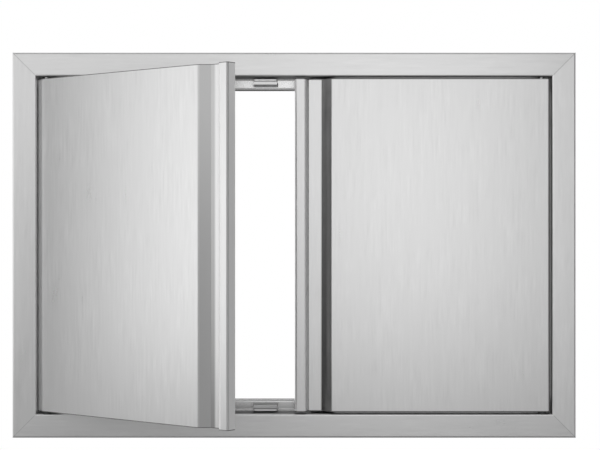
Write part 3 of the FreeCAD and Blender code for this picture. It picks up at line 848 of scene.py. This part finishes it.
# Pivot pins
# Pins turned from stainless bar. The upper one is sprung and carries a turned collar and a
# finger lever, which is bent from sheet.

turned_steel = brushed_steel("turned_steel", (120.0, 120.0, 2600.0), roughness=0.24,
                             colour=grey(0.58), streaks=0.2, clouds=0.1, depth=0.00001)
for side in ("left", "right"):
    dress(turned_steel, f"{side}_door_lower_pin", f"{side}_upper_pin", f"{side}_pin_collar")
    dress(mill_steel, f"{side}_pin_lever")

# Pin springs
# Compression springs of hard-drawn stainless wire with closed end coils, slipped over each
# upper pin between the guide bracket and the collar.

spring_wire = 0.0009
spring_turns = 5.5
spring_closed_turns = 0.8
spring_steps = 24
spring_clearance = 0.00003
spring_low, spring_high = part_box("right_pin_spring")
spring_steel = brushed_steel("spring_steel", even_grain(800.0), roughness=0.32,
                             colour=(0.42, 0.42, 0.43, 1.0), streaks=0.2, clouds=0.2,
                             depth=0.00001)


def wire_tree():
    """Round wire along the edges of a path."""
    tree, given, result = new_tree(
        "GeometryNodeTree", "Wire",
        {"Path": "Geometry", "Wire radius": "Float", "Sides": "Int", "Finish": "Material"},
        {"Wire": "Geometry"})
    link = tree.links.new
    path = add_node(tree, "GeometryNodeMeshToCurve")
    link(given.outputs["Path"], path.inputs["Mesh"])
    section = add_node(tree, "GeometryNodeCurvePrimitiveCircle", mode="RADIUS")
    link(given.outputs["Sides"], section.inputs["Resolution"])
    link(given.outputs["Wire radius"], section.inputs["Radius"])
    drawn = add_node(tree, "GeometryNodeCurveToMesh", {"Fill Caps": True})
    link(path.outputs["Curve"], drawn.inputs["Curve"])
    link(section.outputs["Curve"], drawn.inputs["Profile Curve"])
    end_tree(tree, drawn.outputs["Mesh"], given.outputs["Finish"], result.inputs["Wire"])
    return tree


def coil_height(turn):
    """Height of the wire's middle at a turn: closed coils at both ends, open ones between."""
    low, high = spring_low.z + spring_wire / 2, spring_high.z - spring_wire / 2
    closed = spring_closed_turns
    if turn <= closed:
        return low + spring_wire * turn
    if turn >= spring_turns - closed:
        return high - spring_wire * (spring_turns - turn)
    share = (turn - closed) / (spring_turns - 2 * closed)
    return low + spring_wire * closed + share * (high - low - 2 * spring_wire * closed)


wire = wire_tree()
coil_centre = (spring_low + spring_high) / 2
coil_radius = (spring_high.x - spring_low.x - spring_wire) / 2 - spring_clearance
for side in ("left", "right"):
    points = []
    for step in range(round(spring_turns * spring_steps) + 1):
        angle = math.tau * step / spring_steps
        points.append(on_door(side, (coil_centre.x + coil_radius * math.cos(angle),
                                     coil_centre.y + coil_radius * math.sin(angle),
                                     coil_height(step / spring_steps))))
    edges = [(step, step + 1) for step in range(len(points) - 1)]
    coil = grow(f"{side}_pin_coil", points, edges, wire,
                {"Wire radius": spring_wire / 2, "Sides": 12, "Finish": spring_steel})
    turn_outwards(coil)
    for face in coil.data.polygons:
        face.use_smooth = True
    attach(coil, f"{side}_door")
    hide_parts(f"{side}_pin_spring")
    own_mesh(coil)

# Studio
# A pale floor, white all round and two soft lamps in front. The cloths show only in the steel,
# which needs something to mirror: grey ones at the sides, overhead and below, and dark ones
# behind the opening and beside the camera.

floor_drop = 0.16
floor_z = -frame_half_height - floor_drop
ceiling_z = 1.45
studio_radius = 2.0
studio_centre = Vector((0.0, -0.1, 0.0))


def round_about(azimuth, elevation, radius=studio_radius):
    """A place round the object: azimuth from the front towards the left, in degrees."""
    turn, rise = math.radians(azimuth), math.radians(elevation)
    return studio_centre + radius * Vector((-math.cos(rise) * math.sin(turn),
                                            -math.cos(rise) * math.cos(turn), math.sin(rise)))


def new_cloth(name, tone, points, faces, seen=False):
    """A matt sheet of the studio. Only the floor is seen; the cloths show in the steel alone."""
    matt, shader = new_material(name)
    shader.inputs["Base Color"].default_value = grey(tone)
    shader.inputs["Roughness"].default_value = 1.0
    shader.inputs["Specular IOR Level"].default_value = 0.0
    thing = new_piece(name, points, faces, matt)
    thing.visible_camera = seen
    thing.visible_diffuse = seen
    thing.visible_shadow = seen


def lay_cloth(name, tone, reach, front, back, height, seen=False):
    """A level cloth that reaches as far to the left as to the right."""
    points = [(-reach, front, height), (reach, front, height), (reach, back, height),
              (-reach, back, height)]
    new_cloth(name, tone, points, [(0, 1, 2, 3)], seen)


def hang_cloth(name, tone, azimuths, low, high, radius=studio_radius):
    """An upright cloth round the object."""
    points = []
    for azimuth in azimuths:
        place = round_about(azimuth, 0.0, radius)
        points += [(place.x, place.y, low), (place.x, place.y, high)]
    faces = [(step, step + 1, step + 3, step + 2) for step in range(0, len(points) - 2, 2)]
    new_cloth(name, tone, points, faces)


lay_cloth("floor", 0.75, reach=3.5, front=-3.5, back=0.8, height=floor_z, seen=True)
lay_cloth("floor_cloth", 0.42, reach=2.5, front=-3.0, back=0.4, height=floor_z + 0.01)
lay_cloth("under_cloth", 0.20, reach=0.45, front=-0.10, back=0.75, height=floor_z + 0.02)
lay_cloth("ceiling_cloth", 0.45, reach=3, front=-3.1, back=-0.3, height=ceiling_z)
hang_cloth("right_cloth", 0.26, azimuths=(-25, -48, -72, -96), low=floor_z, high=3.0)
hang_cloth("left_cloth", 0.28, azimuths=(86.5, 93, 99), low=floor_z, high=0.72)
hang_cloth("camera_cloth", 0.06, azimuths=(3, 17), low=-0.41, high=0.21, radius=2.2)
left, right, low, high, depth = -0.40, 0.01, -0.42, 0.30, 0.35
new_cloth("back_cloth", 0.05, [(left, depth, low), (right, depth, low), (right, depth, high),
                               (left, depth, high)], [(0, 1, 2, 3)])

world = bpy.data.worlds.new("studio")
bpy.context.scene.world = world
world.use_nodes = True
background = world.node_tree.nodes["Background"]
background.inputs["Color"].default_value = grey(1.0)
background.inputs["Strength"].default_value = 1.0


def new_lamp(name, azimuth, elevation, width, height, power):
    """A soft rectangular lamp that faces the object."""
    lamp = bpy.data.lights.new(name, "AREA")
    lamp.shape = "RECTANGLE"
    lamp.size = width
    lamp.size_y = height
    lamp.energy = power
    thing = bpy.data.objects.new(name, lamp)
    thing.location = round_about(azimuth, elevation)
    thing.rotation_euler = (studio_centre - thing.location).to_track_quat("-Z", "Y").to_euler()
    bpy.context.scene.collection.objects.link(thing)


new_lamp("left_lamp", azimuth=71.8, elevation=0.5, width=0.93, height=1.0, power=1.2)
new_lamp("right_lamp", azimuth=-5.5, elevation=0.0, width=0.64, height=1.0, power=0.68)

# Camera
# Square to the front of the frame, a little right of its middle and above it. The shift puts
# the frame where the photograph has it.

camera_side = 0.008
camera_distance = 2.15
camera_height = 0.0142
camera = bpy.data.cameras.new("camera")
camera.lens = 93.84
camera.sensor_width = 36.0
camera.shift_y = 0.0163
camera_thing = bpy.data.objects.new("camera", camera)
camera_thing.location = (camera_side, front_y - camera_distance, camera_height)
camera_thing.rotation_euler = (math.radians(90), 0, 0)
bpy.context.scene.collection.objects.link(camera_thing)
bpy.context.scene.camera = camera_thing
bpy.context.scene.view_settings.view_transform = "Standard"
